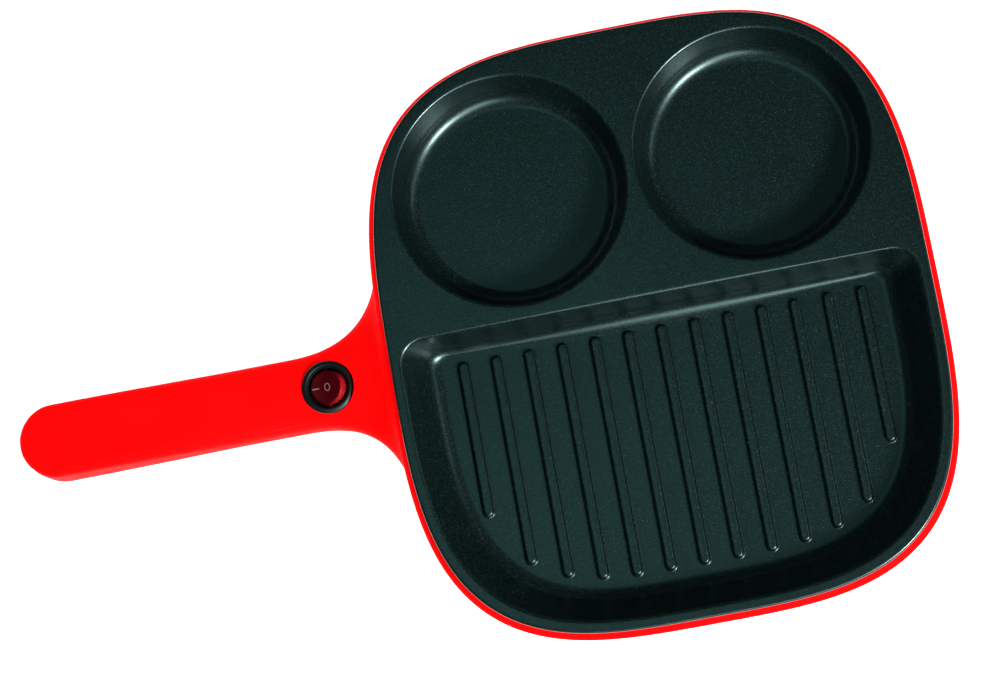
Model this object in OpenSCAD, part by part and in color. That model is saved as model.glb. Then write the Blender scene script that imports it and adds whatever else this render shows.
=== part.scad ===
// Electric griddle: a coated cast plate with two round wells and one ribbed well, in a
// two-part plastic body with a long hollow handle, a round rocker switch and a mains inlet.
// Millimetres. +Z up, the feet stand on Z = 0, the handle points along -X.

/* [Body] */
// Height of the plate's rim above the table
rim_z = 62; // [56:1:80]
// Width of the body along the handle's line, at its widest
shell_x = 236.8; // [200:0.1:300]
// Width of the body across the handle's line, at its widest
shell_y = 260.2; // [220:0.1:330]
// Height of the body's flat base above the table
base_z = 5; // [3:0.5:10]
// Thickness of the plastic walls
wall = 2.5; // [1.8:0.1:4]

/* [Cooking plate] */
// How far the plate's edge stays inside the body's widest line
plate_inset = 2.4; // [1.5:0.1:6]
// Thickness of the plate's outer flange
flange_t = 3.5; // [2.5:0.1:6]
// Thickness of the cast walls and floors
cast_t = 2.5; // [2:0.1:4]
// Depth of the wells
well_depth = 19.2; // [12:0.1:26]
// Radius of a round well at its rim
well_r = 50; // [38:0.5:54]
// How much narrower a round well is at its floor, on each side
well_draft = 4.3; // [2:0.1:8]
// Gap between the two round wells' rims
well_gap = 5; // [3:0.5:20]
// Place of the round wells' centres across the handle's line
well_y = 66.5; // [50:0.5:90]
// Rim left between the ribbed well and the plate's edge
grill_margin = 5.2; // [4:0.1:12]
// How much narrower the ribbed well is at its floor, on each outer side
grill_draft = 11; // [6:0.1:16]
// Far edge of the ribbed well, past the handle's line
grill_top_y = 10.2; // [6:0.1:14]
// Number of ribs
rib_count = 13; // [5:2:17]
// Distance from rib to rib
rib_pitch = 14.4; // [9:0.1:20]
// Width of a rib
rib_w = 4.8; // [3:0.1:7]
// Height of a rib above the floor
rib_h = 2.5; // [1:0.1:5]

/* [Handle] */
// Reach of the handle from the plate's centre
handle_reach = 284.8; // [240:0.1:360]
// Width of the handle
handle_w = 32.4; // [30:0.1:44]
// Height of the handle above the line where its halves meet
handle_up = 10; // [8:0.1:16]
// Depth of the handle below that line
handle_down = 15; // [12:0.1:22]
// Height of the line where the halves of the body and the handle meet
parting_z = 35.5; // [31:0.1:42]
// Radius of the blend between the handle and the body, seen from above
flare_r = 33; // [15:1:45]
// Wall of the handle
handle_wall = 2.2; // [1.6:0.1:3]

/* [Switch] */
// Distance of the switch from the plate's centre
switch_reach = 145.2; // [142:0.1:200]
// Diameter of the switch's bezel
bezel_d = 23; // [22.5:0.1:28]
// Diameter of the hole for the switch
switch_hole_d = 20.2; // [20:0.1:22]
// Height of the bezel above its seat
bezel_h = 1.8; // [1:0.1:3]
// Angle between the rocker's two positions
rocker_throw = 20; // [10:1:24]
// Angle between the contact blade's two positions
blade_throw = 8; // [4:1:10]

/* [Mains inlet] */
// Width of the inlet's shroud
inlet_w = 26.8; // [24:0.1:27]
// Height of the inlet's shroud
inlet_h = 18.4; // [16:0.1:18.6]
// Length of the inlet's shroud
inlet_l = 20; // [16:0.5:26]
// How far the inlet's face lies behind the tip of the handle
inlet_setback = 7.8; // [6:0.1:12]

/* [Heater] */
// Diameter of the heating element's tube
tube_d = 6.6; // [5:0.1:9]
// Half the width of the element's loop along the handle's line
loop_x = 80; // [70:1:90]
// Half the width of the element's loop across the handle's line
loop_y = 85; // [75:1:95]
// Radius of the element's outer bends
bend_r = 20; // [16:1:24]
// Radius of the element's bends towards its ends
root_r = 16; // [12:1:18]

/* [Fasteners and feet] */
// Distance of the plate's screws from the centre, along the handle's line
post_x = 55; // [45:1:62]
// Distance of the plate's screws from the centre, across the handle's line
post_y = 59; // [50:1:66]
// Diameter of the plate's screws
plate_screw_d = 4; // [3:0.5:5]
// Diameter of the small screws
small_screw_d = 3; // [2.5:0.1:3.5]
// Diameter of a foot
foot_d = 16; // [10:1:20]
// Distance of the feet from the centre, along the handle's line
foot_x = 68; // [50:1:75]
// Distance of the feet from the centre, across the handle's line
foot_y = 80; // [60:1:88]

/* [Hidden] */
$fn = 48;
red = [0.85, 0.03, 0.03];
black = [0.1, 0.11, 0.11];
steel = [0.75, 0.75, 0.76];
brass = [0.8, 0.65, 0.3];
ceramic = [0.93, 0.9, 0.84];

fit = 0.2;      // gap between parts that meet
touch = 0.15;   // gap between a round face and the part that it lies on
cut = 1;        // how far a cut runs past a face
outline_n = 72; // points round the body's outline
shell_n = 3.38; // squareness of the body's outline
plate_n = 3.42; // squareness of the plate's outline

half_x = shell_x / 2;
half_y = shell_y / 2;
pan_x = (handle_reach - half_x) / 2;
plate_a = half_x - plate_inset;
plate_b = half_y - plate_inset + 0.3;
plate_under = rim_z - flange_t;
seal_t = 1;
deck_z = plate_under - seal_t;
deck_t = 3;
wide_z = rim_z - 7.1;
floor_z = rim_z - well_depth;
under_z = floor_z - cast_t;
well_x = well_r + well_gap / 2;
floor_r = well_r - well_draft;
well_wall = min(cast_t, well_gap / 2 - 0.5);

side_from = 6;  // angle between the ribbed well's corners and its curved side
side_steps = 36;
corner_steps = 4;
grill_rim_r = 11;   // radius of the ribbed well's corners at the rim
grill_foot_r = 7;   // and at the floor
grill_foot_in = 4.2; // how far the floor's far edge lies inside the rim's
rib_clear_x = 8.3;  // from the line of the ribs' ends to the side wall
rib_clear_y = 7.6;  // and to the near wall
rib_ends_n = 3.8;   // squareness of the line of the ribs' ends
rib_root = 0.5;     // how far a rib stands in the floor
wall_grow = cast_t * 1.15;  // thickness of the ribbed well's slanted wall, seen from above

foot_in = 22;    // how far the flat base lies inside the body's widest line
parting_in = 3;  // and the line where the halves meet

seal_in = 3.2;
seal_out = 0.8;
opening_in = seal_in + 0.4;

boss_z = under_z - 11.8;
sheet_t = 0.8;
spacer_h = 4;
post_top = boss_z - sheet_t - spacer_h;
post_d = 10;
vents_each_side = 3;
vent_pitch = 12;
vent_l = 48;
vent_w = 4;
foot_stem_r = 2.5;
posts = [[post_x, post_y], [-post_x, post_y], [-post_x, -post_y], [post_x, -post_y]];

tube_r = tube_d / 2;
tube_z = under_z - touch - tube_r;
root_y = 12;
tube_end = loop_x + root_r + 2;
pin_end = tube_end + 14;
bush_l = 4;
clip_z = tube_z - tube_r - touch;
clip_w = 10;
clip_reach = 12;
// Place of each clip's screw, and the way that its strap points
clips = [[loop_x - clip_reach, -20, 0], [clip_reach - loop_x, -20, 180],
    [40, loop_y - clip_reach, 90], [-40, loop_y - clip_reach, 90], [0, clip_reach - loop_y, 270]];
small_boss_d = 7;

stat_y = -30;
stat_r = 7.9;
stat_body_r = 6.8;
stat_cap = 4;
stat_body_h = 6;
stat_ear = 12.5;
earth_x = -28;
earth_y = -30;
earth_boss = 5;
fuse_x = 28;
fuse_screw_x = 38;
fuse_r = 2.2;
fuse_l = 11;
fuse_z = under_z - touch - fuse_r;

tail_x = -handle_reach;
half_w = handle_w / 2;
handle_top = parting_z + handle_up;
flare_x = -half_x;
section_n = 3.4;
section_step = 15;
root_l = 12;    // how far the handle reaches into the body
bore_more = 6;  // how much wider than the handle its hollow may grow at the root
inlet_x = tail_x + inlet_setback;
inlet_z = (parting_z - handle_down + handle_top) / 2;
inlet_lip = 1.5;
inlet_wall = 1.5;
inlet_back = inlet_x + inlet_lip + inlet_l;
inlet_chamfer = 5;
pin_tail = 5;
// Places of the inlet's pins across its face
inlet_slots = [[-7, -2], [7, -2], [0, 2]];
pin_t = 2;
pin_w = 4;
pin_hole = 0.1;
wire_x = inlet_back + pin_tail + 0.5;
handle_screw_x = [-122, -185, -236];
handle_boss_d = 7;
switch_x = -switch_reach;
pivot_z = handle_top - 1.3;
cup_r = switch_hole_d / 2 - fit;
cup_in = 8.4;
cup_h = 14;
cup_floor = 1.5;
rocker_r = 7.75;
rocker_reach = 8.2;
axle_r = 1;
axle_fit = 0.05;
blade_z = pivot_z - 7.9;
contact_x = 5.2; // distance of the blade's contact from its pivot
tab_z = handle_top - cup_h - 8;
tab_x = 5.5;    // distance of the outer terminals from the middle one
tab_t = 0.8;
tab_w = 4.8;
wire_r = 1.2;

// Point of a squared ellipse in the direction t
function squared(a, b, n, t) =
    let (r = pow(pow(abs(cos(t)) / a, n) + pow(abs(sin(t)) / b, n), -1 / n))
    [r * cos(t), r * sin(t)];
function outline(a, b, n) = [for (i = [0:outline_n - 1]) squared(a, b, n, i * 360 / outline_n)];
function at_z(points, z) = [for (p = points) [p.x, p.y, z]];

// How far the body's outer face lies inside its widest line at each height
function shell_inset(z) = lookup(z, [[base_z, foot_in], [base_z + 3, 14], [base_z + 10, 8.5],
    [parting_z, parting_in], [wide_z, 0], [deck_z, plate_inset]]);
function shell_ring(z, more) =
    at_z(outline(half_x - shell_inset(z) - more, half_y - shell_inset(z) - more, shell_n), z);
function inner_ring(inset, z) = at_z(outline(half_x - inset, half_y - inset, shell_n), z);

// Ribbed well: the body's outline pulled in, cut straight on the far side with round corners
function corner(cx, cy, r, from) = [for (i = [0:corner_steps])
    let (a = from + i * 90 / corner_steps) [cx + r * cos(a), cy + r * sin(a)]];
function well_side(a, b) = [for (i = [0:side_steps])
    squared(a, b, plate_n, 180 + side_from + i * (180 - 2 * side_from) / side_steps)];
function grill_outline(inset, top, r) =
    let (a = plate_a - inset, b = plate_b - inset)
    concat(well_side(a, b), corner(a - r, top - r, r, 0), corner(r - a, top - r, r, 90));

// Half the handle's width at x, from the tip's round through the straight part to the flare
function handle_half(x) =
    x < tail_x + half_w ? max(1.5, sqrt(max(0, half_w * half_w - pow(tail_x + half_w - x, 2)))) :
    x < flare_x - flare_r ? half_w :
    half_w + flare_r - sqrt(max(0, flare_r * flare_r - pow(min(flare_r, x - flare_x + flare_r), 2)));
// Height of the handle's crown over the parting line, rising to the body at the root
function crown(x) = lookup(x, [[tail_x, handle_up - 1.2], [tail_x + 3, handle_up - 0.3],
    [tail_x + 8, handle_up], [flare_x - 15, handle_up], [flare_x - 7, handle_up + 2.5],
    [flare_x, handle_up + 7], [flare_x + root_l, handle_up + 9]]);
// Depth of the handle's keel under the parting line
function keel(x) = lookup(x, [[tail_x, handle_down - 3], [tail_x + 6, handle_down],
    [flare_x - 15, handle_down], [flare_x + root_l, handle_down + 1]]);
// Places of the handle's cross-sections, close together where its width or height changes
stations = concat([for (d = [0, 1, 3, 6, 10, half_w]) tail_x + d],
    [for (d = [flare_r, 26, 19, 13, 8, 4, 1, -root_l]) flare_x - d]);
// Upper or lower half of a cross-section, with a skirt past the parting line where it cuts a hollow
function half_section(x, w, h, up, skirt) = let (s = up ? 1 : -1)
    concat([for (t = [0:section_step:180]) let (u = up ? t : 180 - t)
        [x, w * sign(cos(u)) * pow(abs(cos(u)), 2 / section_n),
         parting_z + s * h * pow(abs(sin(u)), 2 / section_n)]],
        skirt == 0 ? [] : [[x, -s * w, parting_z - s * skirt], [x, s * w, parting_z - s * skirt]]);
function handle_rings(up) = [for (x = stations)
    half_section(x, handle_half(x), up ? crown(x) : keel(x), up, 0)];
inner_stations = [for (x = stations) if (x > tail_x + 2 && x < flare_x - 2) x];
function cavity_rings(up) = concat([for (x = inner_stations)
    half_section(x, min(handle_half(x), half_w + bore_more) - handle_wall,
        (up ? min(crown(x), handle_up) : keel(x)) - handle_wall, up, cut)],
    [half_section(flare_x + root_l / 2 + wall, half_w + bore_more - handle_wall,
        (up ? handle_up : handle_down) - handle_wall, up, cut)]);

// Closed solid through a list of rings, each turning right-handed about the way they are stacked
module loft(rings) {
    n = len(rings[0]);
    m = len(rings);
    sides = [for (k = [0:m - 2], i = [0:n - 1]) let (a = k * n + i, b = k * n + (i + 1) % n)
        each [[a, a + n, b], [b, a + n, b + n]]];
    caps = [[for (i = [0:n - 1]) i], [for (i = [n - 1:-1:0]) (m - 1) * n + i]];
    polyhedron([for (r = rings) each r], concat(sides, caps));
}

module rod(x, y, z0, z1, r) { translate([x, y, z0]) cylinder(h = z1 - z0, r = r); }
module rod_x(x0, x1, y, z, r) { translate([x0, y, z]) rotate([0, 90, 0]) cylinder(h = x1 - x0, r = r); }
module rod_y(x, y0, y1, z, r) { translate([x, y0, z]) rotate([-90, 0, 0]) cylinder(h = y1 - y0, r = r); }
module box(x0, x1, y0, y1, z0, z1) { translate([x0, y0, z0]) cube([x1 - x0, y1 - y0, z1 - z0]); }
module slot(len, w, h) {
    linear_extrude(h) {
        translate([0, -len / 2 + w / 2]) circle(d = w);
        translate([0, len / 2 - w / 2]) circle(d = w);
        square([w, len - w], center = true);
    }
}
module pan() { translate([pan_x, 0, 0]) children(); }

module rib(i) {
    x = (i - (rib_count - 1) / 2) * rib_pitch;
    a = plate_a - grill_margin - grill_draft - rib_clear_x;
    b = plate_b - grill_margin - grill_draft - rib_clear_y;
    near = -b * pow(max(0.05, 1 - pow(min(1, abs(x) / a), rib_ends_n)), 1 / rib_ends_n);
    translate([x, near / 2, floor_z - rib_root]) slot(-near, rib_w, rib_h + rib_root);
}

module plate_boss(x, y, z, d, hole) {
    difference() {
        rod(x, y, z, under_z + 1, d / 2);
        rod(x, y, z - cut, under_z - 1, hole / 2);
    }
}

// Ribbed well from its floor at z0 to its rim at z1, its foot grown by foot and its rim by rim
module grill_well(foot, z0, rim, far, rim_more, z1) {
    loft([at_z(grill_outline(grill_margin + grill_draft - foot, grill_top_y - grill_foot_in + foot,
            grill_foot_r + foot), z0),
        at_z(grill_outline(grill_margin - rim, grill_top_y + far + foot,
            grill_rim_r + rim_more + foot), z1)]);
}

module cooking_plate() {
    over = 1;
    past = 1.25;
    wall_top = plate_under + 1;
    color(black) pan() {
        difference() {
            union() {
                translate([0, 0, plate_under]) linear_extrude(flange_t)
                    polygon(outline(plate_a, plate_b, plate_n));
                for (s = [-1, 1]) translate([s * well_x, well_y, under_z])
                    cylinder(h = wall_top - under_z, r1 = floor_r + well_wall,
                        r2 = floor_r + well_wall + well_draft * (wall_top - under_z) / well_depth, $fn = 96);
                grill_well(wall_grow, under_z, wall_grow - 1, -0.6, 0, wall_top);
            }
            for (s = [-1, 1]) translate([s * well_x, well_y, floor_z])
                cylinder(h = well_depth * past, r1 = floor_r, r2 = floor_r + well_draft * past, $fn = 96);
            grill_well(0, floor_z, over, over / 2, 0.4, rim_z + over * well_depth / grill_draft);
        }
        for (i = [0:rib_count - 1]) rib(i);
        for (p = posts) plate_boss(p.x, p.y, boss_z, post_d, plate_screw_d - 0.7);
        for (c = clips) plate_boss(c.x, c.y, clip_z, small_boss_d, small_screw_d - 0.5);
        for (s = [-1, 1])
            plate_boss(s * stat_ear, stat_y, under_z - stat_cap, small_boss_d - 1, small_screw_d - 0.5);
        plate_boss(fuse_screw_x, stat_y, fuse_z - fuse_r - touch, small_boss_d - 1, small_screw_d - 0.5);
        plate_boss(earth_x, earth_y, under_z - earth_boss, small_boss_d, small_screw_d - 0.5);
    }
}
module plate_seal() {
    color("dimgray") pan() translate([0, 0, deck_z]) linear_extrude(seal_t) difference() {
        polygon(outline(plate_a - seal_out, plate_b - seal_out, plate_n));
        polygon(outline(plate_a - seal_in, plate_b - seal_in, plate_n));
    }
}

module inlet_shape(grow) {
    w = inlet_w / 2 + grow;
    h = inlet_h / 2 + grow;
    c = inlet_chamfer;
    polygon([[w, c - h], [w, h - c], [w - c, h], [c - w, h],
        [-w, h - c], [-w, c - h], [c - w, -h], [w - c, -h]]);
}
// The inlet's outline as a bar along X
module inlet_bar(x0, x1, grow) {
    translate([x0, 0, inlet_z]) rotate([90, 0, 90]) linear_extrude(x1 - x0) inlet_shape(grow);
}

// Walls inside the handle that hold the inlet: a lip before it and a rib behind it
module inlet_stops(up) {
    z0 = up ? parting_z : parting_z - handle_down + 1;
    z1 = up ? handle_top - 1 : parting_z;
    difference() {
        union() {
            box(inlet_x, inlet_x + inlet_lip - fit, -half_w + 2.8, half_w - 2.8, z0, z1);
            box(inlet_back + fit, inlet_back + 2, -half_w + 1, half_w - 1, z0, z1);
        }
        inlet_bar(inlet_x - cut, inlet_x + 3, -inlet_wall * 0.6);
        inlet_bar(inlet_back - 1, inlet_back + 4, -2.5);
    }
}

module handle_boss(x, up) {
    if (up) rod(x, 0, parting_z, handle_top - 1, handle_boss_d / 2);
    else rod(x, 0, parting_z - handle_down + 1, parting_z - fit, handle_boss_d / 2);
}

module top_housing() {
    color(red) pan() difference() {
        union() {
            difference() {
                union() {
                    loft([for (z = [parting_z, (parting_z + wide_z) / 2, wide_z, deck_z]) shell_ring(z, 0)]);
                    loft(handle_rings(true));
                    rod(switch_x, 0, parting_z + 2, handle_top, bezel_d / 2 + 1);
                }
                loft([for (z = [parting_z - cut, (parting_z + wide_z) / 2, deck_z - deck_t])
                    shell_ring(z, wall)]);
                loft(cavity_rings(true));
                translate([0, 0, deck_z - deck_t - cut]) linear_extrude(deck_t + 2 * cut)
                    polygon(outline(plate_a - opening_in, plate_b - opening_in, plate_n));
            }
            intersection() {
                union() {
                    for (x = handle_screw_x) handle_boss(x, true);
                    inlet_stops(true);
                }
                loft(handle_rings(true));
            }
        }
        rod(switch_x, 0, parting_z - cut, handle_top + 8, switch_hole_d / 2);
        rod(switch_x, 0, handle_top, handle_top + 8, bezel_d / 2 + fit);
        inlet_bar(inlet_x + inlet_lip - fit, inlet_back + fit, fit);
        box(tail_x - cut, inlet_x, -half_w, half_w, parting_z - cut, handle_top - handle_wall);
        for (x = handle_screw_x) rod(x, 0, parting_z - cut, handle_top - 3, small_screw_d / 2 - 0.3);
    }
}

module bottom_housing() {
    color(red) pan() difference() {
        union() {
            difference() {
                union() {
                    loft([for (z = [base_z, base_z + 3, base_z + 10, parting_z]) shell_ring(z, 0)]);
                    loft(handle_rings(false));
                }
                loft([inner_ring(foot_in + wall, base_z + wall),
                    inner_ring(foot_in - 7.5 + wall, base_z + wall + 2),
                    shell_ring(base_z + 10, wall), inner_ring(parting_in + wall, parting_z + cut)]);
                loft(cavity_rings(false));
            }
            for (p = posts) rod(p.x, p.y, base_z + 1, post_top, post_d / 2);
            intersection() {
                union() {
                    for (x = handle_screw_x) handle_boss(x, false);
                    inlet_stops(false);
                }
                loft(handle_rings(false));
            }
        }
        for (p = posts) {
            rod(p.x, p.y, base_z - cut, post_top + cut, plate_screw_d / 2 + fit);
            rod(p.x, p.y, base_z - cut, base_z + head_h(plate_screw_d) + 1, plate_screw_d + fit);
        }
        for (x = handle_screw_x) {
            rod(x, 0, parting_z - handle_down - cut, parting_z, small_screw_d / 2 + fit);
            rod(x, 0, parting_z - handle_down - cut, parting_z - handle_down + head_h(small_screw_d) + 1,
                small_screw_d + fit);
        }
        for (sx = [-1, 1], sy = [-1, 1])
            rod(sx * foot_x, sy * foot_y, base_z - cut, base_z + wall + cut, foot_stem_r + fit);
        for (i = [-vents_each_side:vents_each_side]) translate([i * vent_pitch, 0, base_z - cut])
            slot(vent_l, vent_w, wall + 2 * cut);
        box(tail_x - cut, inlet_x, -half_w - cut, half_w + cut, 0, parting_z + cut);
        inlet_bar(inlet_x + inlet_lip - fit, inlet_back + fit, fit);
    }
}

module rubber_feet() {
    color("black") pan() for (sx = [-1, 1], sy = [-1, 1]) translate([sx * foot_x, sy * foot_y, 0]) {
        cylinder(h = 1, r1 = foot_d / 2 - 1, r2 = foot_d / 2);
        translate([0, 0, 1]) cylinder(h = base_z - 1, r = foot_d / 2);
        translate([0, 0, base_z]) cylinder(h = wall + fit, r = foot_stem_r);
        translate([0, 0, base_z + wall + fit]) cylinder(h = 2, r1 = foot_stem_r + 1, r2 = foot_stem_r);
    }
}

// Quarter bend of the element's tube about (x, y), of radius r, from the angle a
module bend(x, y, r, a) {
    translate([x, y, tube_z]) rotate([0, 0, a]) rotate_extrude(angle = 90)
        translate([r, 0]) circle(r = tube_r, $fn = 24);
}

module heating_element() {
    r = bend_r;
    color("gray") pan() for (s = [0, 1]) mirror([0, s, 0]) {
        rod_x(-tube_end, -loop_x - root_r, root_y, tube_z, tube_r, $fn = 24);
        bend(-loop_x - root_r, root_y + root_r, root_r, 270);
        rod_y(-loop_x, root_y + root_r, loop_y - r, tube_z, tube_r, $fn = 24);
        bend(r - loop_x, loop_y - r, r, 90);
        rod_x(r - loop_x, loop_x - r, loop_y, tube_z, tube_r, $fn = 24);
        bend(loop_x - r, loop_y - r, r, 0);
        rod_y(loop_x, 0, loop_y - r, tube_z, tube_r, $fn = 24);
    }
}

module element_insulators() {
    color(ceramic) pan() for (s = [-1, 1]) difference() {
        rod_x(-tube_end - bush_l, -tube_end, s * root_y, tube_z, tube_r - 0.3);
        rod_x(-tube_end - bush_l - cut, -tube_end + cut, s * root_y, tube_z, wire_r + axle_fit);
    }
}

module element_pins() {
    color(steel) pan() for (s = [-1, 1]) rod_x(-pin_end, -tube_end, s * root_y, tube_z, wire_r);
}

module element_clips() {
    strap_l = clip_w / 2 + clip_reach + tube_r + 2;
    color(steel) pan() for (c = clips) translate([c.x, c.y, clip_z - sheet_t]) rotate([0, 0, c.z])
        difference() {
            translate([-clip_w / 2, -clip_w / 2, 0]) cube([strap_l, clip_w, sheet_t]);
            translate([0, 0, -cut]) cylinder(h = sheet_t + 2 * cut, r = small_screw_d / 2 + fit);
        }
}

function head_h(d) = d * 0.6;
// Pan-head screw whose head's under side is at z, pointing up
module screw(x, y, z, d, len) {
    rod(x, y, z - head_h(d), z, d * 0.9);
    rod(x, y, z, z + len, d / 2 - 0.4);
}

module clip_screws() {
    color(steel) pan() for (c = clips) screw(c.x, c.y, clip_z - sheet_t, small_screw_d, 5);
}

module heat_reflector() {
    z = boss_z - sheet_t;
    a = loop_x + tube_r + 8;
    b = loop_y + tube_r + 8;
    n = 5;
    color("lightgray") pan() difference() {
        translate([0, 0, z]) difference() {
            linear_extrude(6) polygon(outline(a, b, n));
            translate([0, 0, sheet_t]) linear_extrude(6) polygon(outline(a - sheet_t, b - sheet_t, n));
        }
        for (p = posts) rod(p.x, p.y, z - cut, z + 2, plate_screw_d / 2 + fit);
        box(earth_x - 8, fuse_screw_x + 8, stat_y - 12, stat_y + 12, z - cut, z + 2);
        box(-a - cut, -loop_x - tube_r, -root_y - 8, root_y + 8, z - cut, z + 8);
    }
}

module ceramic_spacers() {
    color(ceramic) pan() for (p = posts) difference() {
        rod(p.x, p.y, post_top, post_top + spacer_h, post_d / 2 - 0.5);
        rod(p.x, p.y, post_top - cut, post_top + spacer_h + cut, plate_screw_d / 2 + fit);
    }
}

module plate_screws() {
    seat = base_z + head_h(plate_screw_d) + 1;
    color(steel) pan() for (p = posts) screw(p.x, p.y, seat, plate_screw_d, boss_z + 8 - seat);
}

module thermostat() {
    top = under_z - touch;
    color(ceramic) pan() {
        rod(0, stat_y, top - stat_cap + touch, top, stat_r);
        rod(0, stat_y, top - stat_cap - stat_body_h, top - stat_cap + touch, stat_body_r);
    }
}

module thermostat_tabs() {
    z = under_z - touch - stat_cap - stat_body_h;
    color(brass) pan() for (s = [-1, 1]) box(s * 4 - 0.4, s * 4 + 0.4, stat_y - 3, stat_y + 3, z - 8, z);
}

module thermostat_bracket() {
    z = under_z - stat_cap - sheet_t;
    color(steel) pan() difference() {
        union() {
            box(-stat_ear - 4, stat_ear + 4, stat_y - 5, stat_y + 5, z, z + sheet_t);
            rod(0, stat_y, z, z + sheet_t, stat_r + 1);
        }
        rod(0, stat_y, z - cut, z + 2, stat_body_r + fit);
        for (s = [-1, 1]) rod(s * stat_ear, stat_y, z - cut, z + 2, small_screw_d / 2 + fit);
    }
}

module thermostat_screws() {
    z = under_z - stat_cap - sheet_t;
    color(steel) pan() for (s = [-1, 1]) screw(s * stat_ear, stat_y, z, small_screw_d, 3.6);
}

module thermal_fuse() {
    color("silver") pan() {
        rod_y(fuse_x, stat_y - fuse_l / 2, stat_y + fuse_l / 2, fuse_z, fuse_r);
        rod_y(fuse_x, stat_y - fuse_l / 2 - 5, stat_y - fuse_l / 2, fuse_z, 0.6);
        rod_y(fuse_x, stat_y + fuse_l / 2, stat_y + fuse_l / 2 + 5, fuse_z, 0.6);
    }
}

module fuse_clip() {
    z = fuse_z - fuse_r - touch - sheet_t;
    color(steel) pan() difference() {
        box(fuse_x - 4, fuse_screw_x + 4, stat_y - 4, stat_y + 4, z, z + sheet_t);
        rod(fuse_screw_x, stat_y, z - cut, z + 2, small_screw_d / 2 + fit);
    }
}

module fuse_screw() {
    color(steel) pan() screw(fuse_screw_x, stat_y, fuse_z - fuse_r - touch - sheet_t, small_screw_d, 4);
}

// Black bezel and cup of the switch, with holes for the rocker's axle
module switch_body() {
    color(black) pan() translate([switch_x, 0, 0]) difference() {
        union() {
            rod(0, 0, handle_top, handle_top + bezel_h, bezel_d / 2);
            rod(0, 0, handle_top - cup_h, handle_top, cup_r);
        }
        rod(0, 0, handle_top - cup_h + cup_floor, handle_top + bezel_h + cut, cup_in);
        translate([0, 0, handle_top + bezel_h - 1.2]) cylinder(h = 1.3, r1 = cup_in, r2 = cup_in + 1.3);
        rod_y(0, -cup_r - cut, cup_r + cut, pivot_z, axle_r + axle_fit);
        for (x = [-tab_x, 0, tab_x])
            box(x - tab_t / 2 - 0.1, x + tab_t / 2 + 0.1, -tab_w / 2 - 0.1, tab_w / 2 + 0.1,
                handle_top - cup_h - cut, handle_top - cup_h + cup_floor + cut);
    }
}

// The rocker tilted to its rest position, its handle side down
module tilted(a) {
    pan() translate([switch_x, 0, pivot_z]) rotate([0, a, 0]) children();
}

module switch_rocker() {
    saddle = 26;
    color([0.6, 0.05, 0.08]) tilted(-rocker_throw / 2) {
        difference() {
            intersection() {
                translate([0, 0, -2.5]) cylinder(h = 7, r = rocker_r);
                sphere(r = rocker_reach);
            }
            rod_y(0, -rocker_r - cut, rocker_r + cut, 2.8 + saddle, saddle, $fn = 96);
        }
        for (s = [0, 1]) mirror([0, s, 0]) rod_y(0, rocker_r - 1, cup_r - fit, 0, axle_r);
    }
}

module rocker_plunger() {
    color("white") tilted(-rocker_throw / 2) {
        rod(0, 0, -6.2, -2.5, 1);
        translate([0, 0, -6.2]) sphere(r = 1);
        rod(0, 0, -6, -5.4, 2);
    }
}

module rocker_spring() {
    turns = 4;
    steps = 14;
    wire = 0.2;
    coil_r = 1.6;
    foot = -5.4 + wire + touch;
    rise = 2.9 - 2 * (wire + touch);
    rings = [for (k = [0:turns * steps]) let (a = k * 360 / steps, z = foot + rise * k / (turns * steps))
        [for (j = [5:-1:0]) let (b = j * 60, q = coil_r + wire * cos(b))
            [q * cos(a), q * sin(a), z + wire * sin(b)]]];
    color(steel) tilted(-rocker_throw / 2) loft(rings);
}

module contact_blade() {
    color(brass) pan() translate([switch_x, 0, blade_z]) rotate([0, blade_throw / 2, 0]) {
        translate([-6, -1.5, -0.25]) cube([12, 3, 0.5]);
        rod(contact_x, 0, -0.85, -0.25, 1);
    }
}

module switch_terminals() {
    floor_top = handle_top - cup_h + cup_floor;
    drop = contact_x * sin(blade_throw / 2);
    color(brass) pan() translate([switch_x, 0, 0]) {
        for (t = [[0, blade_z - 0.35], [tab_x, blade_z - 1.05 - drop], [-tab_x, floor_top + 0.8]])
            box(t.x - tab_t / 2, t.x + tab_t / 2, -tab_w / 2, tab_w / 2, tab_z, t.y);
    }
}

module indicator_lamp() {
    r = 1.4;
    half = 3;
    z = handle_top - cup_h + cup_floor + r + touch;
    color([1, 0.6, 0.4, 0.6]) pan() translate([switch_x, 5.2, z]) {
        rod_x(-half, half, 0, 0, r);
        for (s = [-1, 1]) translate([s * half, 0, 0]) sphere(r = r);
    }
}

// A pin, or the slot that it passes through, across the inlet's back
module inlet_slot(p, x0, x1, wider) {
    box(x0, x1, p.x - (pin_t + wider) / 2, p.x + (pin_t + wider) / 2,
        inlet_z + p.y - (pin_w + wider) / 2, inlet_z + p.y + (pin_w + wider) / 2);
}

module inlet_housing() {
    face = inlet_x + inlet_lip;
    color(black) pan() difference() {
        inlet_bar(face, inlet_back, 0);
        inlet_bar(face - cut, inlet_back - 3, -inlet_wall);
        for (p = inlet_slots) inlet_slot(p, inlet_back - 4, inlet_back + cut, pin_hole);
    }
}

module inlet_pins() {
    color(brass) pan() for (p = inlet_slots) inlet_slot(p, inlet_x + inlet_lip + 2, inlet_back + pin_tail, 0);
}

module handle_screws() {
    seat = parting_z - handle_down + head_h(small_screw_d) + 1;
    color(steel) pan() for (x = handle_screw_x) screw(x, 0, seat, small_screw_d + 0.2, handle_down + 4);
}

module earth_screw() {
    color(brass) pan() screw(earth_x, earth_y, under_z - earth_boss - 1, small_screw_d, 4.8);
}

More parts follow.
